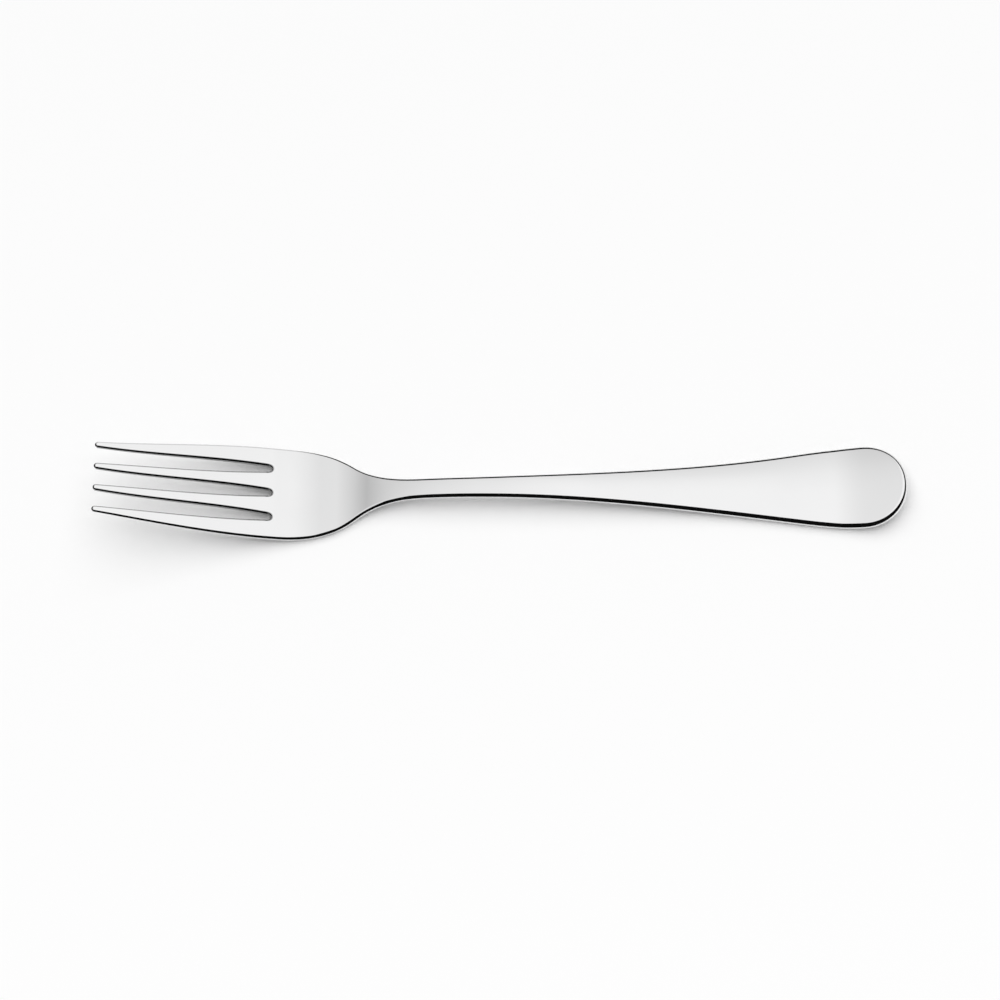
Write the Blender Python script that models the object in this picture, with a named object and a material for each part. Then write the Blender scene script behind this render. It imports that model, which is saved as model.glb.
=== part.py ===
"""Appetizer fork: one blank of stainless steel, pierced, rolled, pressed and polished.

The flat blank is laid out first, with x running from the tine tips to the end of the handle and y
across it. Its vertices are then carried on to the pressed side profile, through the local thickness,
and the rim is closed with a rounded edge. Lengths are in metres and slopes are plain ratios.
"""

import math

import bmesh
import bpy

# Plan of the head and the tines
LENGTH = 0.160
TINE_COUNT = 4
TINE_LENGTH = 0.0340
TIP_SPAN = 0.0150
TIP_WIDTH = 0.00119
TIP_ROUND = 0.0005
TIP_SPLAY = 0.074
SLOT_WIDTH = 0.00124
SLOT_MOUTH_TAPER = 0.0518
SLOT_ROOT_TAPER = 0.0903
HEAD_WIDTH = 0.01973
HEAD_WIDEST = 0.03289

# Plan of the shoulder, the neck and the handle
SHOULDER_AT = 0.05085
SHOULDER_WIDTH = 0.0114
SHOULDER_SLOPE = 0.70
NECK_AT = 0.0670
NECK_WIDTH = 0.00422
FLARE_FROM_END = 0.02405
FLARE_WIDTH = 0.01438
FLARE_SLOPE = 0.1454
HANDLE_WIDTH = 0.01754
END_LENGTH = 0.00864
END_FULLNESS = 2.067

# Side profile of the underside, which rests at the belly of the head and near the end of the handle
TIP_HEIGHT = 0.01033
TIP_SLOPE = 0.321
BEND_AT = 0.0340
BEND_HEIGHT = 0.00129
BEND_SLOPE = 0.2476
BELLY_AT = 0.04392
BELLY_FLAT = 0.0032
RISE_AT = 0.0534
RISE_HEIGHT = 0.0009
RISE_SLOPE = 0.2474
ARCH_AT = 0.0790
ARCH_HEIGHT = 0.00303
REST_FROM_END = 0.0225
REST_FLAT = 0.0070
END_HEIGHT = 0.00272
END_SLOPE = 0.28

# Thickness, the crown of the top and the rounding of the edges
TIP_THICKNESS = 0.0010
HEAD_THICKNESS = 0.00135
NECK_THICKNESS = 0.0015
HANDLE_THICKNESS = 0.0018
NECK_CROWN = 0.00005
HANDLE_CROWN = 0.00035
TIP_EDGE_ROUND = 0.0004
ROOT_EDGE_ROUND = 0.00048
HEAD_EDGE_ROUND = 0.0005
NECK_EDGE_ROUND = 0.0007
NECK_EDGE_AT = 0.0570
HANDLE_EDGE_ROUND = 0.00086
EDGE_SHARE = 0.96

# Fineness of the surface
TINE_ROWS = 14
TINE_COLUMNS = 4
SLOT_END_STEPS = 8
ROOT_CLEARANCE = 0.0018
HEAD_STEP = 0.0020
HANDLE_STEP = 0.0036
END_ROWS = 4
END_SPREAD = math.radians(45)
EDGE_STEPS = 3
SMOOTH_ANGLE = math.radians(40)

STEEL_COLOUR = (0.86, 0.86, 0.86, 1.0)
STEEL_ROUGHNESS = 0.12

# Places along the fork that several curves share
HANDLE_WIDEST = LENGTH - END_LENGTH
REST_AT = LENGTH - REST_FROM_END
SLOT_END_AT = TINE_LENGTH - SLOT_WIDTH / 2
TIP_PITCH = (TIP_SPAN - TIP_WIDTH) / (TINE_COUNT - 1)

# Curves along the fork, each as stations of place, value and slope
OUTLINE = (
    (0, TIP_SPAN / 2, TIP_SPLAY),
    (HEAD_WIDEST, HEAD_WIDTH / 2, 0),
    (SHOULDER_AT, SHOULDER_WIDTH / 2, -SHOULDER_SLOPE),
    (NECK_AT, NECK_WIDTH / 2, 0),
    (LENGTH - FLARE_FROM_END, FLARE_WIDTH / 2, FLARE_SLOPE),
    (HANDLE_WIDEST, HANDLE_WIDTH / 2, 0),
)
SLOT_HALF_WIDTH = (
    (0, (TIP_PITCH - TIP_WIDTH) / 2, -SLOT_MOUTH_TAPER),
    (SLOT_END_AT, SLOT_WIDTH / 2, -SLOT_ROOT_TAPER),
)
UNDERSIDE = (
    (0, TIP_HEIGHT, -TIP_SLOPE),
    (BEND_AT, BEND_HEIGHT, -BEND_SLOPE),
    (BELLY_AT, 0, 0),
    (BELLY_AT + BELLY_FLAT, 0, 0),
    (RISE_AT, RISE_HEIGHT, RISE_SLOPE),
    (ARCH_AT, ARCH_HEIGHT, 0),
    (REST_AT, 0, 0),
    (REST_AT + REST_FLAT, 0, 0),
    (LENGTH, END_HEIGHT, END_SLOPE),
)
THICKNESS = (
    (0, TIP_THICKNESS, 0),
    (BELLY_AT, HEAD_THICKNESS, 0),
    (NECK_AT, NECK_THICKNESS, 0),
    (HANDLE_WIDEST, HANDLE_THICKNESS, 0),
    (LENGTH, HANDLE_THICKNESS, 0),
)
CROWN = (
    (0, 0, 0),
    (BELLY_AT + BELLY_FLAT, 0, 0),
    (NECK_AT, NECK_CROWN, 0),
    (HANDLE_WIDEST, HANDLE_CROWN, 0),
    (LENGTH, HANDLE_CROWN, 0),
)
EDGE_ROUND = (
    (0, TIP_EDGE_ROUND, 0),
    (TINE_LENGTH, ROOT_EDGE_ROUND, 0),
    (BELLY_AT + BELLY_FLAT, HEAD_EDGE_ROUND, 0),
    (NECK_EDGE_AT, NECK_EDGE_ROUND, 0),
    (HANDLE_WIDEST, HANDLE_EDGE_ROUND, 0),
    (LENGTH, HANDLE_EDGE_ROUND, 0),
)


def curve(stations, place):
    """Value and slope at a place on the smooth curve through the stations."""
    for (start, low, low_slope), (end, high, high_slope) in zip(stations, stations[1:]):
        if place <= end:
            break
    span = end - start
    t = (place - start) / span
    value = low + (high - low) * t * t * (3 - 2 * t)
    value += span * (low_slope * t * (1 - t) ** 2 - high_slope * t * t * (1 - t))
    slope = 6 * (high - low) * t * (1 - t) / span
    slope += low_slope * (1 - t) * (1 - 3 * t) + high_slope * t * (3 * t - 2)
    return value, slope


def half_width(x):
    """Half the blank's width, up to where the handle is widest."""
    return curve(OUTLINE, x)[0]


def slot_edges(slot, x):
    """The two sides of a slot, which lean apart towards the tips."""
    root_pitch = (2 * half_width(SLOT_END_AT) + SLOT_WIDTH) / TINE_COUNT
    pitch = TIP_PITCH + (root_pitch - TIP_PITCH) * x / SLOT_END_AT
    middle = pitch * (slot - (TINE_COUNT - 2) / 2)
    half = curve(SLOT_HALF_WIDTH, x)[0]
    return middle - half, middle + half


def tine_edges(tine, x):
    """The two sides of a tine: a slot or the blank's own outline on each side."""
    low = -half_width(x) if tine == 0 else slot_edges(tine - 1, x)[1]
    high = half_width(x) if tine == TINE_COUNT - 1 else slot_edges(tine, x)[0]
    return low, high


def end_share(along, across):
    """How far a point lies out to the rim of the handle's full round end: 0 at its root, 1 on the rim."""
    return (abs(along) ** END_FULLNESS + abs(across) ** END_FULLNESS) ** (1 / END_FULLNESS)


def edge_share(x, y):
    """How far a point of the neck or handle lies from its centre line: 0 there, 1 on the outline."""
    if x <= HANDLE_WIDEST:
        return abs(y) / half_width(x)
    return end_share((x - HANDLE_WIDEST) / END_LENGTH, 2 * y / HANDLE_WIDTH)


def pressed(x, y, depth, from_top):
    """The place in space of a blank point, at a depth below the top or above the underside."""
    thickness = curve(THICKNESS, x)[0]
    crown = curve(CROWN, x)[0] * max(0, 1 - edge_share(x, y) ** 2)
    rise = thickness + crown - depth if from_top else depth
    height, slope = curve(UNDERSIDE, x)
    lean = math.hypot(1, slope)
    return x - rise * slope / lean, y, height + rise / lean


def edge_round(x, room):
    """Radius of the rounded edge, limited by the thickness and by the room beside the edge."""
    limit = EDGE_SHARE * min(curve(THICKNESS, x)[0] / 2, room)
    return min(curve(EDGE_ROUND, x)[0], limit)


def add_point(blank, x, y, room):
    """A vertex of the flat blank, which keeps its edge radius."""
    vertex = blank.verts.new((x, y, 0))
    vertex[blank.verts.layers.float["edge_round"]] = edge_round(x, room)
    return vertex


def add_strip(blank, rows):
    """Faces between each row of vertices and the next."""
    for near, far in zip(rows, rows[1:]):
        for a, b, c, d in zip(near, far, far[1:], near[1:]):
            blank.faces.new((a, b, c, d))


def tine_row(blank, tine, x, bow):
    """One cross line of a tine, bent round the tip by the bow."""
    row = []
    for column in range(TINE_COLUMNS + 1):
        across = 2 * column / TINE_COLUMNS - 1
        turn = math.pi / 2 * across
        place = x + bow * (1 - math.cos(turn))
        low, high = tine_edges(tine, place)
        half = (high - low) / 2
        inset = 0 if column in (0, TINE_COLUMNS) else edge_round(place, half)
        reach = half * math.sin(turn) if bow else (half - inset) * across
        row.append(add_point(blank, place, (low + high) / 2 + reach, half))
    return row


def add_tine(blank, tine):
    """One tine from its round tip to the end of the slots. Returns its last row."""
    rows = [tine_row(blank, tine, 0, TIP_ROUND)]
    for step in range(1, TINE_ROWS + 1):
        rows.append(tine_row(blank, tine, TIP_ROUND + (SLOT_END_AT - TIP_ROUND) * step / TINE_ROWS, 0))
    add_strip(blank, rows)
    return rows[-1]


def lane_shares():
    """Shares of the width inside the rounded rim at which lines run from the tines down the body."""
    rim = curve(EDGE_ROUND, SLOT_END_AT)[0]
    inner_half = half_width(SLOT_END_AT) - rim
    shares = []
    for tine in range(TINE_COUNT):
        low, high = tine_edges(tine, SLOT_END_AT)
        low += rim
        high -= rim
        steps = range(TINE_COLUMNS + 1)
        shares += [(low + (high - low) * step / TINE_COLUMNS) / inner_half for step in steps]
        if tine < TINE_COUNT - 1:
            shares.append(sum(slot_edges(tine, SLOT_END_AT)) / 2 / inner_half)
    return shares


def body_places():
    """Places of the cross lines from behind the slots to where the handle is widest."""
    breaks = [BELLY_AT, BELLY_AT + BELLY_FLAT, SHOULDER_AT, RISE_AT, NECK_AT, ARCH_AT]
    breaks += [LENGTH - FLARE_FROM_END, REST_AT, REST_AT + REST_FLAT, HANDLE_WIDEST]
    places = [TINE_LENGTH + ROOT_CLEARANCE]
    for end in sorted(breaks):
        start = places[-1]
        step = HEAD_STEP if end <= NECK_AT else HANDLE_STEP
        count = math.ceil((end - start) / step)
        places += [start + (end - start) * (n + 1) / count for n in range(count)]
    return places


def body_row(blank, shares, x):
    """One straight cross line of the body, with its two ends on the outline."""
    half = half_width(x)
    inner_half = half - edge_round(x, half)
    places = [-half] + [share * inner_half for share in shares[1:-1]] + [half]
    return [add_point(blank, x, y, half) for y in places]


def end_row(blank, shares, bow):
    """One cross line of the handle's round end, bent until, at bow 1, it lies along the outline."""
    half = HANDLE_WIDTH / 2
    turn = math.pi / 2 - (math.pi / 2 - END_SPREAD) * bow
    row = []
    for share in shares:
        on_rim = bow == 1 or share in (shares[0], shares[-1])
        trim = 0 if on_rim else edge_round(LENGTH, half)
        spread = END_SPREAD * share
        reach = math.cos(turn) + bow * (math.cos(spread) - math.cos(END_SPREAD))
        aside = math.sin(turn) * (share + bow * (math.sin(spread) / math.sin(END_SPREAD) - share))
        fuller = math.hypot(reach, aside) / end_share(reach, aside)
        x = HANDLE_WIDEST + (END_LENGTH - trim) * reach * fuller
        row.append(add_point(blank, x, (half - trim) * aside * fuller, half))
    return row


def add_body(blank):
    """The head behind the slots, the neck and the handle. Returns the first row."""
    shares = lane_shares()
    rows = [body_row(blank, shares, x) for x in body_places()]
    rows += [end_row(blank, shares, (step + 1) / END_ROWS) for step in range(END_ROWS)]
    add_strip(blank, rows)
    return rows[0]


def join_tines(blank, tine_ends, body_start):
    """Join the tines to the body, round the end of each slot."""
    lane = TINE_COLUMNS + 2
    for tine, tine_end in enumerate(tine_ends):
        add_strip(blank, [tine_end, body_start[tine * lane:tine * lane + TINE_COLUMNS + 1]])
    for slot, (below, above) in enumerate(zip(tine_ends, tine_ends[1:])):
        low, high = slot_edges(slot, SLOT_END_AT)
        middle = (low + high) / 2
        radius = (high - low) / 2
        arc = [above[0]]
        for step in range(1, SLOT_END_STEPS):
            turn = math.pi / 2 - math.pi * step / SLOT_END_STEPS
            x = SLOT_END_AT + radius * math.cos(turn)
            arc.append(add_point(blank, x, middle + radius * math.sin(turn), HEAD_WIDTH))
        arc.append(below[-1])
        first = slot * lane + TINE_COLUMNS
        blank.faces.new(body_start[first:first + 3] + arc)


def flat_blank():
    """The pierced blank as one flat sheet of faces, with the edge radius kept on its vertices."""
    blank = bmesh.new()
    blank.verts.layers.float.new("edge_round")
    tine_ends = [add_tine(blank, tine) for tine in range(TINE_COUNT)]
    join_tines(blank, tine_ends, add_body(blank))
    return blank


def outward(vertex):
    """Direction in plan, square to the rim, that leaves the blank at a rim vertex."""
    total_x = 0
    total_y = 0
    for edge in vertex.link_edges:
        if edge.is_boundary:
            loop = edge.link_loops[0]
            along = loop.link_loop_next.vert.co - loop.vert.co
            total_x += along.y / along.length
            total_y -= along.x / along.length
    size = math.hypot(total_x, total_y)
    return total_x / size, total_y / size


def section_places(blank, vertex):
    """Places from the top to the underside at a blank vertex, round the edge if it is on the rim."""
    x, y, _ = vertex.co
    if not vertex.is_boundary:
        return [pressed(x, y, 0, True), pressed(x, y, 0, False)]
    out_x, out_y = outward(vertex)
    radius = vertex[blank.verts.layers.float["edge_round"]]
    upper = []
    lower = []
    for step in range(EDGE_STEPS + 1):
        turn = math.pi / 2 * step / EDGE_STEPS
        inset = radius * (1 - math.sin(turn))
        depth = radius * (1 - math.cos(turn))
        upper.append(pressed(x - inset * out_x, y - inset * out_y, depth, True))
        lower.append(pressed(x - inset * out_x, y - inset * out_y, depth, False))
    return upper + lower[::-1]


def fork_mesh():
    """The solid fork, raised from the blank."""
    blank = flat_blank()
    solid = bmesh.new()
    sections = {}
    for vertex in blank.verts:
        sections[vertex] = [solid.verts.new(place) for place in section_places(blank, vertex)]
    for face in blank.faces:
        solid.faces.new([sections[vertex][0] for vertex in face.verts])
        solid.faces.new([sections[vertex][-1] for vertex in reversed(face.verts)])
    for edge in blank.edges:
        if edge.is_boundary:
            loop = edge.link_loops[0]
            here = sections[loop.vert]
            there = sections[loop.link_loop_next.vert]
            add_strip(solid, [here, there][::-1])
    mesh = bpy.data.meshes.new("fork")
    solid.to_mesh(mesh)
    solid.free()
    blank.free()
    return mesh


def polished_steel():
    """Bright polished stainless steel."""
    material = bpy.data.materials.new("polished_steel")
    material.use_nodes = True
    shader = material.node_tree.nodes["Principled BSDF"]
    shader.inputs["Base Color"].default_value = STEEL_COLOUR
    shader.inputs["Metallic"].default_value = 1.0
    shader.inputs["Roughness"].default_value = STEEL_ROUGHNESS
    return material


def main():
    for old in list(bpy.data.objects):
        bpy.data.objects.remove(old, do_unlink=True)
    mesh = fork_mesh()
    mesh.materials.append(polished_steel())
    mesh.shade_smooth()
    mesh.set_sharp_from_angle(angle=SMOOTH_ANGLE)
    fork = bpy.data.objects.new("fork", mesh)
    fork.location.x = -LENGTH / 2
    bpy.context.scene.collection.objects.link(fork)


main()
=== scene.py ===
"""Appetizer fork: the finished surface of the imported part, its polished steel and a plain studio.

The file is laid out as an add-on, with its sizes and colours in the 3D view's sidebar, and is run as a
script. Lengths are in metres. The fork's own x runs from the tine tips to the end of the handle.
"""

import math

import bmesh
import bpy
from bpy.props import FloatProperty, FloatVectorProperty, IntProperty, PointerProperty
from mathutils import Euler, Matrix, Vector


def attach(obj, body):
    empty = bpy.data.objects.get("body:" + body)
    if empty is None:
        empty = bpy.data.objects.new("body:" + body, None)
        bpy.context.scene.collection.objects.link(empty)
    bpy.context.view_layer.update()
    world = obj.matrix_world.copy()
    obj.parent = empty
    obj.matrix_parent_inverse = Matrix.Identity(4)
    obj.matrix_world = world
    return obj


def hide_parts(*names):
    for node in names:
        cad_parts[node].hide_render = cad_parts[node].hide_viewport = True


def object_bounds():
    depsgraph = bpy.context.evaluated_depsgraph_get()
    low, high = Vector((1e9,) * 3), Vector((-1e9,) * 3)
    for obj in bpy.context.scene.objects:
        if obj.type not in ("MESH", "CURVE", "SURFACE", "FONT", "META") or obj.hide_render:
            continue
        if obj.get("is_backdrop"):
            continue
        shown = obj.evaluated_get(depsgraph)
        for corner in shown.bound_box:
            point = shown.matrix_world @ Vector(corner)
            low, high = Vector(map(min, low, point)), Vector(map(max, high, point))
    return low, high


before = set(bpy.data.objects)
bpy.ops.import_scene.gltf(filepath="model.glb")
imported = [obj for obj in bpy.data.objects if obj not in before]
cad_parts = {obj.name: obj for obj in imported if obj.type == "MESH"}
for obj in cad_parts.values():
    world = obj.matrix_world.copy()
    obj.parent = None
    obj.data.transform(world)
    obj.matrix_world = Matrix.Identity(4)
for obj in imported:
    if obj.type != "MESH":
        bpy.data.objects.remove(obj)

bl_info = {
    "name": "Appetizer Fork",
    "version": (1, 0, 0),
    "blender": (4, 5, 0),
    "location": "3D View > Sidebar > Fork",
    "description": "Builds a polished steel appetizer fork and the studio it lies in",
    "category": "Add Mesh",
}

CAD_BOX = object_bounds()
CAD_NODE = "fork"
FIT_TOLERANCE = 0.0005
WHITE = (1, 1, 1, 1)

# Places of the colour sockets on a Mix node, where names repeat.
MIX_SHARE = 0
MIX_FIRST = 6
MIX_SECOND = 7
MIX_RESULT = 2


def length(name, description, default):
    """A length that a user may change."""
    return FloatProperty(
        name=name, description=description, default=default, min=0, precision=5,
        unit="LENGTH", subtype="DISTANCE",
    )


def ratio(name, description, default, unit="NONE"):
    """A slope, share or strength that a user may change."""
    return FloatProperty(name=name, description=description, default=default, precision=4, unit=unit)


def angle(name, description, degrees):
    """An angle that a user may change."""
    return FloatProperty(
        name=name, description=description, default=math.radians(degrees), unit="ROTATION",
        subtype="ANGLE",
    )


def edge(name, description, default):
    """Where a soft edge starts and where it ends."""
    return FloatVectorProperty(name=name, description=description, default=default, size=2)


def stops(name, description, default):
    """Five values along a soft edge."""
    return FloatVectorProperty(name=name, description=description, default=default, size=5)


def count(name, description, default):
    """A whole number that a user may change."""
    return IntProperty(name=name, description=description, default=default, min=1)


def colour(name, description, default):
    """A colour that a user may change."""
    return FloatVectorProperty(
        name=name, description=description, default=default, min=0, max=1, size=3, subtype="COLOR",
    )


class FORK_PG_plan(bpy.types.PropertyGroup):
    """Sizes of the flat blank, seen from above."""

    length: length("Length", "From the tine tips to the end of the handle", 0.160)
    tine_count: count("Tines", "Number of tines", 4)
    tine_length: length("Tine length", "From the tips to the ends of the slots", 0.0340)
    tip_span: length("Tip span", "Width over the outer two tips", 0.0150)
    tip_width: length("Tip width", "Width of a tine at its tip", 0.00119)
    tip_round: length("Tip rounding", "How far a tip's end bows out", 0.0005)
    tip_splay: ratio("Tip splay", "Slope of the outline at the tips", 0.074)
    slot_width: length("Slot width", "Width of a slot at its round end", 0.00124)
    slot_mouth_taper: ratio("Slot mouth taper", "Slope of a slot's sides at the tips", 0.0518)
    slot_root_taper: ratio("Slot root taper", "Slope of a slot's sides at its end", 0.0903)
    head_width: length("Head width", "Width of the head where it is widest", 0.01973)
    head_widest: length("Head widest at", "Distance of that place from the tips", 0.03289)
    shoulder_at: length("Shoulder at", "Distance of the shoulder from the tips", 0.05085)
    shoulder_width: length("Shoulder width", "Width at the middle of the shoulder", 0.0114)
    shoulder_slope: ratio("Shoulder slope", "Slope of the outline there", 0.70)
    neck_at: length("Neck at", "Distance of the slimmest place from the tips", 0.0670)
    neck_width: length("Neck width", "Width of the slimmest place", 0.00422)
    flare_from_end: length("Flare from end", "Distance of the handle's flare from its end", 0.02405)
    flare_width: length("Flare width", "Width of the handle there", 0.01438)
    flare_slope: ratio("Flare slope", "Slope of the outline there", 0.1454)
    handle_width: length("Handle width", "Width of the handle where it is widest", 0.01754)
    end_length: length("End length", "From the handle's widest place to its end", 0.00864)
    end_fullness: ratio("End fullness", "Fullness of the round end: 2 is an ellipse", 2.067)


class FORK_PG_profile(bpy.types.PropertyGroup):
    """Sizes of the underside's pressed side profile."""

    tip_height: length("Tip height", "Height of the underside at the tips", 0.01033)
    tip_slope: ratio("Tip slope", "Slope of the tines at the tips", 0.321)
    bend_at: length("Bend at", "Distance of the tines' roots from the tips", 0.0340)
    bend_height: length("Bend height", "Height of the underside there", 0.00129)
    bend_slope: ratio("Bend slope", "Slope of the head there", 0.2476)
    belly_at: length("Belly at", "Distance from the tips at which the head comes to rest", 0.04392)
    belly_flat: length("Belly flat", "Length of the head's flat rest", 0.0032)
    rise_at: length("Rise at", "Distance of the rise to the neck from the tips", 0.0534)
    rise_height: length("Rise height", "Height of the underside there", 0.0009)
    rise_slope: ratio("Rise slope", "Slope of the rise", 0.2474)
    arch_at: length("Arch at", "Distance of the arch's crest from the tips", 0.0790)
    arch_height: length("Arch height", "Height of the underside at the crest", 0.00303)
    rest_from_end: length("Rest from end", "Distance of the handle's rest from its end", 0.0225)
    rest_flat: length("Rest flat", "Length of the handle's flat rest", 0.0070)
    end_height: length("End height", "Height of the underside at the end", 0.00272)
    end_slope: ratio("End slope", "Slope of the underside at the end", 0.28)


class FORK_PG_section(bpy.types.PropertyGroup):
    """Thickness of the steel and the rounding of its edges."""

    tip_thickness: length("Tip thickness", "Thickness at the tips", 0.0010)
    head_thickness: length("Head thickness", "Thickness of the head", 0.00135)
    neck_thickness: length("Neck thickness", "Thickness of the neck", 0.0015)
    handle_thickness: length("Handle thickness", "Thickness at the handle's edges", 0.0018)
    neck_crown: length("Neck crown", "Rise of the neck's top along its middle", 0.00005)
    handle_crown: length("Handle crown", "Rise of the handle's top along its middle", 0.00035)
    tip_edge: length("Tip edge", "Edge radius at the tips", 0.0004)
    root_edge: length("Root edge", "Edge radius at the ends of the slots", 0.00048)
    head_edge: length("Head edge", "Edge radius of the head", 0.0005)
    neck_edge: length("Neck edge", "Edge radius of the neck", 0.0007)
    neck_edge_at: length("Neck edge at", "Distance from the tips at which it is reached", 0.0570)
    handle_edge: length("Handle edge", "Edge radius of the handle", 0.00086)
    edge_share: ratio("Edge share", "Largest edge radius, as a share of half the thickness", 0.96)


class FORK_PG_fineness(bpy.types.PropertyGroup):
    """How finely the surface is divided."""

    tine_rows: count("Tine rows", "Rows along a tine", 64)
    tine_columns: count("Tine columns", "Columns across a tine", 6)
    slot_columns: count("Slot columns", "Columns round the end of a slot", 12)
    root_rows: count("Root rows", "Rows between the slots and the body", 6)
    root_clearance: length("Root clearance", "Depth of those rows behind the slots", 0.0018)
    head_step: length("Head step", "Longest step along the head and the neck", 0.0007)
    handle_step: length("Handle step", "Longest step along the handle", 0.0012)
    end_rows: count("End rows", "Rows of the handle's round end", 10)
    end_spread: angle("End spread", "Half the angle that the last of these rows covers", 45)
    edge_steps: count("Edge steps", "Steps round each rounded edge", 7)


class FORK_PG_steel(bpy.types.PropertyGroup):
    """Colour and finish of the steel."""

    bright: colour("Bright steel", "Colour of the polished steel", (0.895, 0.895, 0.895))
    hazed: colour("Hazed steel", "Colour where the polish is a little dull", (0.875, 0.875, 0.878))
    smooth: ratio("Smooth", "Roughness of the best polished places", 0.09)
    dull: ratio("Dull", "Roughness of the least polished places", 0.15)
    # Partly the duller steel of the cut sides and partly painted shade: this darker colour stands in for
    # the dark reflections along the slots.
    dull_side_and_shade: colour("Pierced steel", "Colour of the tines' less polished sides", (0.35, 0.35, 0.35))
    pierced_dull: ratio("Pierced dull", "Roughness added on those sides", 0.10)
    haze_size: length("Haze size", "Size of the patches of duller polish", 0.012)
    haze_detail: ratio("Haze detail", "Fineness of the patches' outlines", 4.0)
    haze_range: edge("Haze range", "Noise levels at which the polish is best and least", (0.3, 0.7))
    line_width: length("Line width", "Spacing of the fine polishing lines", 0.00022)
    line_length: length("Line length", "Length of the fine polishing lines", 0.018)
    line_depth: length("Line depth", "Depth of the fine polishing lines", 0.0000004)
    line_detail: ratio("Line detail", "Fineness of the polishing lines' own grain", 3.0)


class FORK_PG_stage(bpy.types.PropertyGroup):
    """The floor, the light tent, the dark strips, the key light and the camera.

    Places in the tent are metres to the right, or back, for each metre up.
    """

    floor_colour: colour("Floor", "Colour of the floor", (0.96, 0.96, 0.96))
    floor_radius: length("Floor radius", "Radius of the round floor", 4.0)
    floor_sides: count("Floor sides", "Number of straight sides of the round floor", 96)
    floor_gap: length("Floor gap", "Clearance under the fork", 0.00003)
    fill: ratio("Fill", "Strength of the even light from all sides", 0.42)
    key_power: ratio("Key power", "Power of the key light", 102, "POWER")
    key_size: length("Key size", "Side of the square key light", 4.4)
    key_distance: length("Key distance", "Distance of the key light", 3.0)
    key_elevation: angle("Key elevation", "Height of the key light above the horizon", 72)
    key_turn: angle("Key turn", "Turn of the key light from straight behind the fork", 8)
    tent_radius: length("Tent radius", "Radius of the tent round the fork", 0.75)
    tent_sides: count("Tent sides", "Number of the tent's panels round the fork", 64)
    tent_rings: count("Tent rings", "Number of rings in the whole sphere of the tent", 32)
    tent_foot: ratio("Tent foot", "Share of brightness beyond the window's right and near edges", 0.70)
    left_at: stops("Left at", "Places across the window's left side", (-1.15, -0.85, -0.42, -0.08, 0.14))
    left_glow: stops("Left glow", "Brightness at those places", (0.70, 0.40, 0.76, 0.88, 1.0))
    window_right: edge("Window right", "Start and end of the window's right edge", (1.7, 1.0))
    window_near: edge("Window near", "Start and end of the window's near edge", (-1.2, -0.3))
    far_at: stops("Far at", "Places across the window's far side", (0.44, 0.55, 0.63, 0.735, 0.765))
    far_glow: stops("Far glow", "Brightness at those places", (1.0, 0.955, 0.865, 0.80, 0.72))
    corners: edge("Corners", "Where the window's far side starts to lean, left and right", (-0.45, 0.30))
    corner_lean: ratio("Corner lean", "How much it leans away from there on", 3.0)
    strip_clear: length("Strip clear", "Distance of the dark strips from the fork's edges", 0.0004)
    strip_rise: length("Strip rise", "How far they reach above the top's edge", 0.0006)
    near_drop: length("Near drop", "How far they reach below it on the near side", 0.00098)
    far_drop: length("Far drop", "How far they reach below it on the far side", 0.0002)
    near_reach: angle("Near reach", "How high the near edge looks and still mirrors a strip", 80)
    far_reach: angle("Far reach", "How high the far edge looks and still mirrors a strip", 53)
    slot_share: ratio("Slot share", "Width of the strips in the slots, as a share of the near one's", 0.6)
    strip_slack: ratio("Strip slack", "How much lower the strip is at the far corner of the end", 0.5)
    strip_end: length("Strip end", "Distance of the strip's far end from the tips", 0.0385)
    strip_taper: length("Strip taper", "Length over which it narrows to that end", 0.008)
    strip_steps: count("Strip steps", "Steps along each side and round each half of the end", 32)
    strip_tone: ratio("Strip tone", "Brightness of the dark strips", 0.004)
    camera_elevation: angle("Camera elevation", "Height of the camera above the horizon", 65)
    camera_roll: angle("Camera roll", "Turn of the picture", -0.677)
    camera_lens: ratio("Lens", "Focal length of the camera", 100.0, "CAMERA")
    camera_distance: length("Camera distance", "Distance of the camera from its aim", 0.5482)
    camera_aim: FloatVectorProperty(
        name="Camera aim", description="Point at the middle of the picture", size=3,
        default=(-0.00062, -0.0020, 0.002), unit="LENGTH", subtype="XYZ",
    )


class FORK_PG_settings(bpy.types.PropertyGroup):
    """All the settings of the fork and its stage."""

    plan: PointerProperty(type=FORK_PG_plan)
    profile: PointerProperty(type=FORK_PG_profile)
    section: PointerProperty(type=FORK_PG_section)
    fineness: PointerProperty(type=FORK_PG_fineness)
    steel: PointerProperty(type=FORK_PG_steel)
    stage: PointerProperty(type=FORK_PG_stage)


def curve(stations, place):
    """Value and slope at a place on the smooth curve through stations of place, value and slope."""
    for (start, low, low_slope), (end, high, high_slope) in zip(stations, stations[1:]):
        if place <= end:
            break
    span = end - start
    t = (place - start) / span
    value = low + (high - low) * t * t * (3 - 2 * t)
    value += span * (low_slope * t * (1 - t) ** 2 - high_slope * t * t * (1 - t))
    slope = 6 * (high - low) * t * (1 - t) / span
    slope += low_slope * (1 - t) * (1 - 3 * t) + high_slope * t * (3 * t - 2)
    return value, slope


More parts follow.
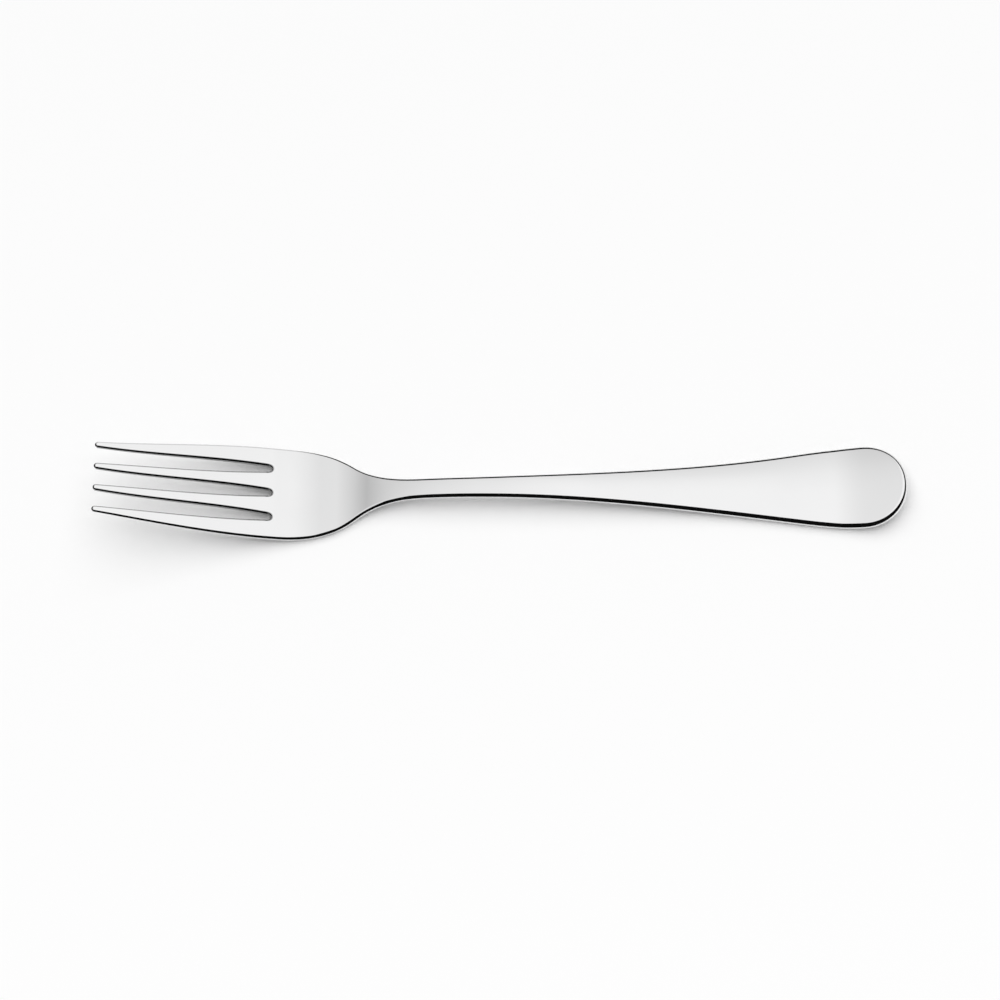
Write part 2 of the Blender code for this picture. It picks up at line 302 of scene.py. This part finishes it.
class ForkForm:
    """The fork's curves, worked out from the sizes in the sidebar."""

    # A step for measuring slopes, and a margin for telling the outline from a slot.
    nudge = 0.00001

    def __init__(self, plan, profile, section):
        self.plan = plan
        self.share = section.edge_share
        self.handle_widest = plan.length - plan.end_length
        self.slot_end_at = plan.tine_length - plan.slot_width / 2
        self.tip_pitch = (plan.tip_span - plan.tip_width) / (plan.tine_count - 1)
        flare_at = plan.length - plan.flare_from_end
        belly_end = profile.belly_at + profile.belly_flat
        rest_at = plan.length - profile.rest_from_end
        rest_end = rest_at + profile.rest_flat
        self.breaks = sorted([
            profile.belly_at, belly_end, plan.shoulder_at, profile.rise_at, plan.neck_at,
            profile.arch_at, flare_at, rest_at, rest_end, self.handle_widest,
        ])
        self.outline = (
            (0, plan.tip_span / 2, plan.tip_splay),
            (plan.head_widest, plan.head_width / 2, 0),
            (plan.shoulder_at, plan.shoulder_width / 2, -plan.shoulder_slope),
            (plan.neck_at, plan.neck_width / 2, 0),
            (flare_at, plan.flare_width / 2, plan.flare_slope),
            (self.handle_widest, plan.handle_width / 2, 0),
        )
        self.slot_half_width = (
            (0, (self.tip_pitch - plan.tip_width) / 2, -plan.slot_mouth_taper),
            (self.slot_end_at, plan.slot_width / 2, -plan.slot_root_taper),
        )
        self.underside = (
            (0, profile.tip_height, -profile.tip_slope),
            (profile.bend_at, profile.bend_height, -profile.bend_slope),
            (profile.belly_at, 0, 0),
            (belly_end, 0, 0),
            (profile.rise_at, profile.rise_height, profile.rise_slope),
            (profile.arch_at, profile.arch_height, 0),
            (rest_at, 0, 0),
            (rest_end, 0, 0),
            (plan.length, profile.end_height, profile.end_slope),
        )
        self.thickness = (
            (0, section.tip_thickness, 0),
            (profile.belly_at, section.head_thickness, 0),
            (plan.neck_at, section.neck_thickness, 0),
            (self.handle_widest, section.handle_thickness, 0),
            (plan.length, section.handle_thickness, 0),
        )
        self.crown = (
            (0, 0, 0),
            (belly_end, 0, 0),
            (plan.neck_at, section.neck_crown, 0),
            (self.handle_widest, section.handle_crown, 0),
            (plan.length, section.handle_crown, 0),
        )
        self.edge = (
            (0, section.tip_edge, 0),
            (plan.tine_length, section.root_edge, 0),
            (belly_end, section.head_edge, 0),
            (section.neck_edge_at, section.neck_edge, 0),
            (self.handle_widest, section.handle_edge, 0),
            (plan.length, section.handle_edge, 0),
        )

    def half_width(self, x):
        """Half the blank's width, up to where the handle is widest."""
        return curve(self.outline, x)[0]

    def slot_edges(self, slot, x):
        """The two sides of a slot, which lean apart towards the tips."""
        plan = self.plan
        root_pitch = (2 * self.half_width(self.slot_end_at) + plan.slot_width) / plan.tine_count
        pitch = self.tip_pitch + (root_pitch - self.tip_pitch) * x / self.slot_end_at
        middle = pitch * (slot - (plan.tine_count - 2) / 2)
        half = curve(self.slot_half_width, x)[0]
        return middle - half, middle + half

    def tine_edges(self, tine, x):
        """The two sides of a tine: a slot or the blank's own outline on each side."""
        outer = self.half_width(x)
        low = -outer if tine == 0 else self.slot_edges(tine - 1, x)[1]
        high = outer if tine == self.plan.tine_count - 1 else self.slot_edges(tine, x)[0]
        return low, high

    def edge_share(self, x, y):
        """How far a point lies from the centre line: 0 there, 1 on the outline."""
        if x <= self.handle_widest:
            return abs(y) / self.half_width(x)
        along = (x - self.handle_widest) / self.plan.end_length
        return self.end_share(along, 2 * y / self.plan.handle_width)

    def end_share(self, along, across):
        """How far a point lies out to the rim of the handle's end: 0 at its root, 1 on the rim."""
        power = self.plan.end_fullness
        return (abs(along) ** power + abs(across) ** power) ** (1 / power)

    def edge_round(self, x, room):
        """Radius of the rounded edge, limited by the thickness and by the room beside the edge."""
        limit = self.share * min(curve(self.thickness, x)[0] / 2, room)
        return min(curve(self.edge, x)[0], limit)

    def pressed(self, x, y, depth, from_top):
        """The place in space of a blank point, at a depth below the top or above the underside."""
        thickness = curve(self.thickness, x)[0]
        crown = curve(self.crown, x)[0] * max(0, 1 - self.edge_share(x, y) ** 2)
        rise = thickness + crown - depth if from_top else depth
        height, slope = curve(self.underside, x)
        lean = math.hypot(1, slope)
        return Vector((x - rise * slope / lean, y, height + rise / lean))

    def directions(self, x, y, from_top):
        """Unit vectors along the fork, across it and out of its top or underside, at a blank point."""
        step = self.nudge
        along = self.pressed(x + step, y, 0, from_top) - self.pressed(x - step, y, 0, from_top)
        across = self.pressed(x, y + step, 0, from_top) - self.pressed(x, y - step, 0, from_top)
        out = along.cross(across).normalized()
        return along.normalized(), across.normalized(), out if from_top else -out


class Blank:
    """The flat blank with its slots cut through: a sheet of faces whose vertices know their edge radius.
    """

    def __init__(self, form, fineness):
        self.form = form
        self.fineness = fineness
        self.sheet = bmesh.new()
        self.radius = self.sheet.verts.layers.float.new("edge_radius")
        # Marks the slot sides, which get the painted shade and the duller finish.
        self.dull_side_and_shade = self.sheet.verts.layers.float.new("dull_side_and_shade")
        body = self.body_rows()
        self.add_strip([self.slot_row(), *self.root_rows(body[0]), *body])

    def add_point(self, x, y, room, dull_side_and_shade=0):
        """A vertex of the blank."""
        vertex = self.sheet.verts.new((x, y, 0))
        vertex[self.radius] = self.form.edge_round(x, room)
        vertex[self.dull_side_and_shade] = dull_side_and_shade
        return vertex

    def add_strip(self, rows):
        """Faces between each row of vertices and the next."""
        for near, far in zip(rows, rows[1:]):
            for corners in zip(near, far, far[1:], near[1:]):
                self.sheet.faces.new(corners)

    def tine_row(self, tine, x, bow):
        """One cross line of a tine, bent round the tip by the bow."""
        form = self.form
        columns = self.fineness.tine_columns
        row = []
        for column in range(columns + 1):
            across = 2 * column / columns - 1
            turn = math.pi / 2 * across
            place = x + bow * (1 - math.cos(turn))
            low, high = form.tine_edges(tine, place)
            half = (high - low) / 2
            middle = (low + high) / 2
            on_side = column in (0, columns)
            on_slot = on_side and abs(middle + half * across) < form.half_width(place) - form.nudge
            inner_half = half - form.edge_round(place, half)
            reach = half * math.sin(turn) if bow else across * (half if on_side else inner_half)
            row.append(self.add_point(place, middle + reach, half, int(on_slot)))
        return row

    def tine_end(self, tine):
        """One tine, from its round tip to the end of the slots. Returns its last row."""
        form = self.form
        tip_round = form.plan.tip_round
        rows = [self.tine_row(tine, 0, tip_round)]
        for step in range(1, self.fineness.tine_rows + 1):
            share = step / self.fineness.tine_rows
            rows.append(self.tine_row(tine, tip_round + (form.slot_end_at - tip_round) * share, 0))
        self.add_strip(rows)
        return rows[-1]

    def slot_end(self, slot):
        """The inner vertices of the arc round the end of a slot."""
        form = self.form
        low, high = form.slot_edges(slot, form.slot_end_at)
        radius = (high - low) / 2
        arc = []
        for step in range(1, self.fineness.slot_columns):
            turn = math.pi * step / self.fineness.slot_columns - math.pi / 2
            x = form.slot_end_at + radius * math.cos(turn)
            y = (low + high) / 2 + radius * math.sin(turn)
            arc.append(self.add_point(x, y, form.plan.head_width, 1))
        return arc

    def slot_row(self):
        """All tines and slot ends, as one row of vertices across the head."""
        row = self.tine_end(0)
        for slot in range(self.form.plan.tine_count - 1):
            row += self.slot_end(slot) + self.tine_end(slot + 1)
        return row

    def lane_places(self):
        """Where the lines down the body start, clear of the rounded edges at the slots' ends."""
        form = self.form
        start = form.slot_end_at
        rim = form.edge_round(start, form.plan.head_width)
        columns = self.fineness.tine_columns
        places = []
        for tine in range(form.plan.tine_count):
            low, high = form.tine_edges(tine, start)
            low += rim
            high -= rim
            places += [(start, low + (high - low) * step / columns) for step in range(columns + 1)]
            if tine < form.plan.tine_count - 1:
                low, high = form.slot_edges(tine, start)
                reach = (high - low) / 2 + rim
                for step in range(1, self.fineness.slot_columns):
                    turn = math.pi * step / self.fineness.slot_columns - math.pi / 2
                    x = start + reach * math.cos(turn)
                    places.append((x, (low + high) / 2 + reach * math.sin(turn)))
        return places

    def lane_shares(self):
        """Shares of the width inside the rounded rim at which those lines run on."""
        columns = self.fineness.tine_columns
        turns = self.fineness.slot_columns
        lane = columns + turns
        places = [y for _, y in self.lane_places()]
        for slot in range(self.form.plan.tine_count - 1):
            first = slot * lane + columns
            low = places[first]
            high = places[first + turns]
            for step in range(1, turns):
                places[first + step] = low + (high - low) * step / turns
        return [place / places[-1] for place in places]

    def root_rows(self, body_start):
        """Rows that ease from the round slot ends to the straight cross lines of the body."""
        form = self.form
        rows = []
        for step in range(1, self.fineness.root_rows):
            share = step / self.fineness.root_rows
            row = []
            for (x, y), end in zip(self.lane_places(), body_start):
                x += (end.co.x - x) * share
                if end in (body_start[0], body_start[-1]):
                    y = math.copysign(form.half_width(x), end.co.y)
                else:
                    y += (end.co.y - y) * share
                row.append(self.add_point(x, y, form.plan.head_width))
            rows.append(row)
        return rows

    def body_row(self, shares, x):
        """One straight cross line of the body, with its two ends on the outline."""
        half = self.form.half_width(x)
        inner_half = half - self.form.edge_round(x, half)
        places = [-half] + [share * inner_half for share in shares[1:-1]] + [half]
        return [self.add_point(x, y, half) for y in places]

    def end_row(self, shares, bow):
        """One cross line of the handle's round end, bent until, at bow 1, it lies on the outline."""
        form = self.form
        plan = form.plan
        half = plan.handle_width / 2
        spread = self.fineness.end_spread
        turn = math.pi / 2 - (math.pi / 2 - spread) * bow
        row = []
        for share in shares:
            on_rim = bow == 1 or share in (shares[0], shares[-1])
            trim = 0 if on_rim else form.edge_round(plan.length, half)
            reach = math.cos(turn) + bow * (math.cos(spread * share) - math.cos(spread))
            across = share + bow * (math.sin(spread * share) / math.sin(spread) - share)
            aside = math.sin(turn) * across
            fuller = math.hypot(reach, aside) / form.end_share(reach, aside)
            x = form.handle_widest + (plan.end_length - trim) * reach * fuller
            row.append(self.add_point(x, (half - trim) * aside * fuller, half))
        return row

    def body_rows(self):
        """The head behind the slots, the neck and the handle with its round end."""
        form = self.form
        fineness = self.fineness
        shares = self.lane_shares()
        places = [form.plan.tine_length + fineness.root_clearance]
        for end in form.breaks:
            start = places[-1]
            step = fineness.head_step if end <= form.plan.neck_at else fineness.handle_step
            steps = math.ceil((end - start) / step)
            places += [start + (end - start) * (n + 1) / steps for n in range(steps)]
        rows = [self.body_row(shares, x) for x in places]
        end_rows = fineness.end_rows
        return rows + [self.end_row(shares, (step + 1) / end_rows) for step in range(end_rows)]

    def outward(self, vertex):
        """Direction in plan, square to the rim, that leaves the blank at a rim vertex."""
        total = Vector((0, 0))
        for side in vertex.link_edges:
            if side.is_boundary:
                loop = side.link_loops[0]
                along = loop.link_loop_next.vert.co - loop.vert.co
                total += Vector((along.y, -along.x)) / along.length
        return total.normalized()

    def section(self, vertex):
        """Places, normals and steepness from the top to the underside, round the edge on the rim."""
        form = self.form
        x, y, _ = vertex.co
        if not vertex.is_boundary:
            faces = (True, False)
            return [(form.pressed(x, y, 0, top), form.directions(x, y, top)[2], 0) for top in faces]
        out = self.outward(vertex)
        radius = vertex[self.radius]
        steps = self.fineness.edge_steps
        halves = []
        for top in (True, False):
            along, across, up = form.directions(x - radius * out.x, y - radius * out.y, top)
            aside = (along * out.x + across * out.y).normalized()
            half = []
            for step in range(steps + 1):
                turn = math.pi / 2 * step / steps
                inset = radius * (1 - math.sin(turn)) * out
                depth = radius * (1 - math.cos(turn))
                place = form.pressed(x - inset.x, y - inset.y, depth, top)
                normal = up * math.cos(turn) + aside * math.sin(turn)
                half.append((place, normal, math.sin(turn)))
            halves.append(half)
        return halves[0] + halves[1][::-1]


def raise_solid(blank):
    """The solid fork, raised from the blank, with exact normals for clean reflections."""
    solid = bmesh.new()
    dull_side_and_shade = solid.verts.layers.float.new("dull_side_and_shade")
    normals = []
    columns = {}
    for vertex in blank.sheet.verts:
        column = []
        for place, normal, steepness in blank.section(vertex):
            raised = solid.verts.new(place)
            # The painted shade and the duller finish grow as the slot side turns steeper.
            raised[dull_side_and_shade] = vertex[blank.dull_side_and_shade] * steepness
            normals.append(normal)
            column.append(raised)
        columns[vertex] = column
    for face in blank.sheet.faces:
        solid.faces.new([columns[vertex][0] for vertex in face.verts])
        solid.faces.new([columns[vertex][-1] for vertex in reversed(face.verts)])
    for side in blank.sheet.edges:
        if side.is_boundary:
            loop = side.link_loops[0]
            here = columns[loop.vert]
            there = columns[loop.link_loop_next.vert]
            for corners in zip(there, here, here[1:], there[1:]):
                solid.faces.new(corners)
    mesh = bpy.data.meshes.new("polished_fork")
    solid.to_mesh(mesh)
    solid.free()
    blank.sheet.free()
    mesh.shade_smooth()
    mesh.normals_split_custom_set_from_vertices(normals)
    return mesh


class NodeBoard:
    """A material's or the world's node tree, with short calls to add and link nodes."""

    def __init__(self, tree):
        self.tree = tree
        tree.nodes.clear()

    def add(self, kind, inputs=None, **settings):
        """A node with its settings, and with values or other nodes' outputs on its inputs."""
        node = self.tree.nodes.new(kind)
        for name, value in settings.items():
            setattr(node, name, value)
        for key, value in (inputs or {}).items():
            if isinstance(value, bpy.types.NodeSocket):
                self.tree.links.new(value, node.inputs[key])
            else:
                node.inputs[key].default_value = value
        return node

    def math(self, operation, *values):
        """The output of a Math node."""
        node = self.add("ShaderNodeMath", dict(enumerate(values)), operation=operation)
        return node.outputs["Value"]

    def fade(self, value, start, end, low=0.0, high=1.0, kind="SMOOTHSTEP"):
        """A value eased from low at the start to high at the end."""
        inputs = {"Value": value, "From Min": start, "From Max": end, "To Min": low, "To Max": high}
        return self.add("ShaderNodeMapRange", inputs, interpolation_type=kind).outputs["Result"]

    def steps(self, value, places, levels):
        """A value that runs evenly from level to level between the places."""
        first = places[0]
        span = places[-1] - first
        share = self.fade(value, first, places[-1], kind="LINEAR")
        node = self.add("ShaderNodeValToRGB", {"Fac": share})
        marks = node.color_ramp.elements
        for place in places[1:-1]:
            marks.new((place - first) / span)
        for mark, level in zip(marks, levels):
            mark.color = (level, level, level, 1)
        return node.outputs["Color"]


def new_material(name):
    """A material and the board for its nodes."""
    material = bpy.data.materials.new(name)
    material.use_nodes = True
    return material, NodeBoard(material.node_tree)


def show_glow(material, board, strength):
    """Gives a material its own brightness, which lights nothing else."""
    shader = board.add("ShaderNodeEmission", {"Color": WHITE, "Strength": strength})
    board.add("ShaderNodeOutputMaterial", {"Surface": shader.outputs["Emission"]})
    material.cycles.emission_sampling = "NONE"


def polished_steel(steel):
    """Polished stainless steel with fine lengthwise polishing lines and patches of softer polish."""
    material, board = new_material("polished_steel")
    place = board.add("ShaderNodeTexCoord").outputs["Object"]
    patches = {"Vector": place, "Scale": 1 / steel.haze_size, "Detail": steel.haze_detail}
    haze = board.add("ShaderNodeTexNoise", patches).outputs["Fac"]
    stretch = (1 / steel.line_length, 1 / steel.line_width, 1 / steel.line_width)
    stretched = board.add("ShaderNodeMapping", {"Vector": place, "Scale": stretch}).outputs["Vector"]
    streaks = {"Vector": stretched, "Scale": 1.0, "Detail": steel.line_detail}
    lines = board.add("ShaderNodeTexNoise", streaks).outputs["Fac"]
    tone = board.add("ShaderNodeValToRGB", {"Fac": haze})
    tone.color_ramp.elements[0].color = (*steel.bright, 1)
    tone.color_ramp.elements[1].color = (*steel.hazed, 1)
    # The slot sides mix towards a darker colour, partly duller cut steel and partly painted shade.
    dull_side_and_shade = board.add("ShaderNodeAttribute", attribute_name="dull_side_and_shade").outputs["Fac"]
    worn = board.math("MULTIPLY", dull_side_and_shade, steel.pierced_dull)
    colours = {MIX_SHARE: dull_side_and_shade, MIX_FIRST: tone.outputs["Color"], MIX_SECOND: (*steel.dull_side_and_shade, 1)}
    base = board.add("ShaderNodeMix", colours, data_type="RGBA").outputs[MIX_RESULT]
    polish = board.fade(haze, *steel.haze_range, steel.smooth, steel.dull)
    relief = {"Height": lines, "Strength": 1.0, "Distance": steel.line_depth}
    bump = board.add("ShaderNodeBump", relief).outputs["Normal"]
    shader = board.add("ShaderNodeBsdfPrincipled", {
        "Base Color": base,
        "Metallic": 1.0,
        "Roughness": board.math("ADD", polish, worn),
        "Normal": bump,
    })
    board.add("ShaderNodeOutputMaterial", {"Surface": shader.outputs["BSDF"]})
    return material


def floor_paint(stage):
    """Plain matt white floor."""
    material, board = new_material("floor_paint")
    inputs = {"Color": (*stage.floor_colour, 1), "Roughness": 1.0}
    shader = board.add("ShaderNodeBsdfDiffuse", inputs)
    board.add("ShaderNodeOutputMaterial", {"Surface": shader.outputs["BSDF"]})
    return material


def tent_cloth(stage):
    """The tent that the steel mirrors: a soft bright window overhead and dimmer cloth round it."""
    material, board = new_material("tent_cloth")
    place = board.add("ShaderNodeNewGeometry").outputs["Position"]
    x, y, z = board.add("ShaderNodeSeparateXYZ", {"Vector": place}).outputs
    rise = board.math("MAXIMUM", z, stage.floor_gap)
    right = board.math("DIVIDE", x, rise)
    back = board.math("DIVIDE", y, rise)
    left_edge = board.steps(right, stage.left_at, stage.left_glow)
    right_edge = board.fade(right, *stage.window_right, stage.tent_foot, 1.0)
    left_corner, right_corner = stage.corners
    aside = board.math("MAXIMUM", board.math("SUBTRACT", left_corner, right), 0.0)
    aside = board.math("MAXIMUM", board.math("SUBTRACT", right, right_corner), aside)
    leaning = board.math("MULTIPLY_ADD", aside, -stage.corner_lean, back)
    far_edge = board.steps(leaning, stage.far_at, stage.far_glow)
    near_edge = board.fade(back, *stage.window_near, stage.tent_foot, 1.0)
    across = board.math("MULTIPLY", left_edge, right_edge)
    glow = board.math("MULTIPLY", across, board.math("MULTIPLY", far_edge, near_edge))
    show_glow(material, board, glow)
    return material


def strip_paper(stage):
    """Matt black paper, shown at its own even tone."""
    material, board = new_material("strip_paper")
    show_glow(material, board, stage.strip_tone)
    return material


def studio_world(stage):
    """Even fill light, with plain white for what the camera, the gloss and glass see."""
    world = bpy.data.worlds.new("studio")
    world.use_nodes = True
    board = NodeBoard(world.node_tree)
    path = board.add("ShaderNodeLightPath").outputs
    seen = board.math("MAXIMUM", path["Is Camera Ray"], path["Is Glossy Ray"])
    seen = board.math("MAXIMUM", seen, path["Is Transmission Ray"])
    strength = board.fade(seen, 0.0, 1.0, stage.fill, 1.0)
    shader = board.add("ShaderNodeBackground", {"Color": WHITE, "Strength": strength})
    board.add("ShaderNodeOutputWorld", {"Surface": shader.outputs["Background"]})
    return world


def link(thing):
    """Puts an object in the scene."""
    bpy.context.scene.collection.objects.link(thing)
    return thing


def add_form(name, form, material):
    """Puts a form in the scene as an object with a material."""
    mesh = bpy.data.meshes.new(name)
    form.to_mesh(mesh)
    form.free()
    mesh.materials.append(material)
    return link(bpy.data.objects.new(name, mesh))


def hide(thing):
    """Marks a part of the stage that only reflections see."""
    thing.visible_camera = False
    thing.visible_diffuse = False
    thing.visible_shadow = False
    thing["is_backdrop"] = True


def aim(thing, target, distance, elevation, azimuth, roll=0.0):
    """Places a lamp or the camera at a distance from a target and points it there."""
    flat = distance * math.cos(elevation)
    offset = Vector((flat * math.sin(azimuth), -flat * math.cos(azimuth), distance * math.sin(elevation)))
    thing.location = Vector(target) + offset
    turn = Euler((math.pi / 2 - elevation, 0, azimuth)).to_matrix()
    thing.rotation_euler = (turn @ Euler((0, 0, roll)).to_matrix()).to_euler()


class FORK_OT_fork(bpy.types.Operator):
    """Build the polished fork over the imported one"""

    bl_idname = "fork.build_fork"
    bl_label = "Fork"

    def execute(self, context):
        settings = context.scene.fork
        form = ForkForm(settings.plan, settings.profile, settings.section)
        mesh = raise_solid(Blank(form, settings.fineness))
        mesh.materials.append(polished_steel(settings.steel))
        fork = link(bpy.data.objects.new("polished_fork", mesh))
        fork.location.x = -settings.plan.length / 2
        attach(fork, "root")
        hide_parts(CAD_NODE)
        for made, packed in zip(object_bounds(), CAD_BOX):
            if (made - packed).length > FIT_TOLERANCE:
                raise ValueError("the polished fork does not fit the packed one: check its sizes")
        return {"FINISHED"}


class FORK_OT_stage(bpy.types.Operator):
    """Build the floor, the light tent, the dark strips, the key light and the camera"""

    bl_idname = "fork.build_stage"
    bl_label = "Stage"

    def execute(self, context):
        settings = context.scene.fork
        stage = settings.stage
        self.lay_floor(stage)
        self.pitch_tent(stage)
        form = ForkForm(settings.plan, settings.profile, settings.section)
        paper = strip_paper(stage)
        self.stand_strip("edge_strip", self.edge_line(form, stage), form, paper)
        for slot in range(form.plan.tine_count - 1):
            self.stand_strip("slot_strip", self.slot_line(form, slot, stage), form, paper)
        self.hang_key(stage)
        self.set_camera(context.scene, stage)
        context.scene.world = studio_world(stage)
        context.scene.view_settings.view_transform = "Standard"
        return {"FINISHED"}

    def lay_floor(self, stage):
        """A round floor just under the fork."""
        disc = bmesh.new()
        sides = stage.floor_sides
        bmesh.ops.create_circle(disc, cap_ends=True, segments=sides, radius=stage.floor_radius)
        floor = add_form("floor", disc, floor_paint(stage))
        floor.location.z = -stage.floor_gap
        floor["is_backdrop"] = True

    def pitch_tent(self, stage):
        """A dome that only reflections see."""
        dome = bmesh.new()
        sides = stage.tent_sides
        rings = stage.tent_rings
        bmesh.ops.create_uvsphere(dome, u_segments=sides, v_segments=rings, radius=stage.tent_radius)
        below = [vertex for vertex in dome.verts if vertex.co.z < -stage.floor_gap]
        bmesh.ops.delete(dome, geom=below, context="VERTS")
        hide(add_form("light_tent", dome, tent_cloth(stage)))

    def near_view(self, stage):
        """The camera's direction as a near edge sees it, and how high that edge has to mirror a strip."""
        return math.pi - stage.camera_elevation, stage.near_reach

    def far_view(self, stage):
        """The same for a far edge."""
        return stage.camera_elevation, stage.far_reach

    def overhang(self, form, x, rise, facing, reach):
        """How far a strip's roof hangs over an edge, so that the edge mirrors it up to the reach."""
        tilt = (facing - reach) / 2
        radius = form.edge_round(x, form.plan.head_width)
        return radius * (1 - math.sin(tilt)) - rise / math.tan(reach)

    def edge_line(self, form, stage):
        """A strip past the tips, along the near side, round the end and back along the far side.

        Each entry is a distance from the tips, the strip's place there, its drop, its rise and the place
        of its roof's inner side.
        """
        plan = form.plan
        steps = stage.strip_steps
        clear = stage.strip_clear
        near = stage.near_drop
        far = stage.far_drop
        rise = stage.strip_rise
        near_view = self.near_view(stage)
        far_view = self.far_view(stage)
        tip = plan.tip_span / 2
        line = [(0, (-clear, side * (tip + clear)), near, rise, (0, side * tip)) for side in (1, -1)]
        for step in range(1, steps + 1):
            x = form.handle_widest * step / steps
            half = form.half_width(x)
            roof = (x, self.overhang(form, x, rise, *near_view) - half)
            line.append((x, (x, -half - clear), near, rise, roof))
        half = plan.handle_width / 2
        for step in range(1, 2 * steps):
            turn = math.pi / 2 * (step / steps - 1)
            x = form.handle_widest + plan.end_length * math.cos(turn)
            place = (x + clear * math.cos(turn), (half + clear) * math.sin(turn))
            view = near_view if turn < 0 else far_view
            over = self.overhang(form, x, rise, *view) * abs(math.sin(turn))
            roof = (x - over * math.cos(turn), (half - over) * math.sin(turn))
            drop = far + (near - far) * max(0, -math.sin(turn))
            slack = 1 - stage.strip_slack * max(0, math.sin(2 * turn))
            line.append((x, place, drop, rise * slack, roof))
        for step in range(steps + 1):
            x = form.handle_widest + (stage.strip_end - form.handle_widest) * step / steps
            half = form.half_width(x)
            share = min(1, (x - stage.strip_end) / stage.strip_taper)
            roof = (x, half + clear - (self.overhang(form, x, rise, *far_view) + clear) * share)
            line.append((x, (x, half + clear), far * share, rise * share, roof))
        return line

    def slot_line(self, form, slot, stage):
        """A strip along a slot's far side and round its end, with entries as in edge_line."""
        steps = stage.strip_steps
        clear = stage.strip_clear
        drop = stage.near_drop * stage.slot_share
        rise = stage.strip_rise * stage.slot_share
        view = self.near_view(stage)
        line = []
        for step in range(steps + 1):
            x = form.slot_end_at * step / steps
            side = form.slot_edges(slot, x)[1]
            over = self.overhang(form, x, rise, *view)
            line.append((x, (x, side - clear), drop, rise, (x, side + over)))
        low, high = form.slot_edges(slot, form.slot_end_at)
        radius = (high - low) / 2
        middle = (low + high) / 2
        for step in range(1, steps + 1):
            turn = math.pi / 2 - math.pi * step / steps
            x = form.slot_end_at + radius * math.cos(turn)
            over = self.overhang(form, x, rise, *view) * max(0, math.sin(turn))
            place, roof = (
                (form.slot_end_at + reach * math.cos(turn), middle + reach * math.sin(turn))
                for reach in (radius - clear, radius + over)
            )
            line.append((x, place, drop, rise, roof))
        return line

    def stand_strip(self, name, line, form, paper):
        """A dark strip with a narrow roof, seen only in reflections, that draws an edge of the fork."""
        strip = bmesh.new()
        low = []
        high = []
        inner = []
        for x, place, drop, rise, roof in line:
            top = curve(form.underside, x)[0] + curve(form.thickness, x)[0]
            low.append(strip.verts.new((*place, top - drop)))
            high.append(strip.verts.new((*place, top + rise)))
            inner.append(strip.verts.new((*roof, top + rise)))
        for start, end in ((low, high), (high, inner)):
            for corners in zip(start, start[1:], end[1:], end):
                strip.faces.new(corners)
        thing = add_form(name, strip, paper)
        thing.location.x = -form.plan.length / 2
        hide(thing)

    def hang_key(self, stage):
        """A large soft light behind the fork."""
        lamp = bpy.data.lights.new("key_light", "AREA")
        lamp.energy = stage.key_power
        lamp.size = stage.key_size
        key = link(bpy.data.objects.new("key_light", lamp))
        key.visible_glossy = False
        aim(key, (0, 0, 0), stage.key_distance, stage.key_elevation, math.pi + stage.key_turn)

    def set_camera(self, scene, stage):
        """The camera at the picture's viewing angle."""
        camera = link(bpy.data.objects.new("camera", bpy.data.cameras.new("camera")))
        camera.data.lens = stage.camera_lens
        aim(camera, stage.camera_aim, stage.camera_distance, stage.camera_elevation, 0, stage.camera_roll)
        scene.camera = camera


class FORK_PT_sidebar(bpy.types.Panel):
    """The fork's pieces and settings"""

    bl_idname = "FORK_PT_sidebar"
    bl_label = "Appetizer Fork"
    bl_space_type = "VIEW_3D"
    bl_region_type = "UI"
    bl_category = "Fork"

    def draw(self, context):
        layout = self.layout
        layout.operator(FORK_OT_fork.bl_idname)
        layout.operator(FORK_OT_stage.bl_idname)
        settings = context.scene.fork
        for title in ("plan", "profile", "section", "fineness", "steel", "stage"):
            box = layout.box()
            box.label(text=title.capitalize())
            group = getattr(settings, title)
            for name in group.__annotations__:
                box.prop(group, name)


CLASSES = (
    FORK_PG_plan, FORK_PG_profile, FORK_PG_section, FORK_PG_fineness, FORK_PG_steel, FORK_PG_stage,
    FORK_PG_settings, FORK_OT_fork, FORK_OT_stage, FORK_PT_sidebar,
)


def register():
    for cls in CLASSES:
        bpy.utils.register_class(cls)
    bpy.types.Scene.fork = PointerProperty(type=FORK_PG_settings)


def unregister():
    del bpy.types.Scene.fork
    for cls in reversed(CLASSES):
        bpy.utils.unregister_class(cls)


def main():
    register()
    bpy.ops.fork.build_fork()
    bpy.ops.fork.build_stage()


if __name__ == "__main__":
    main()
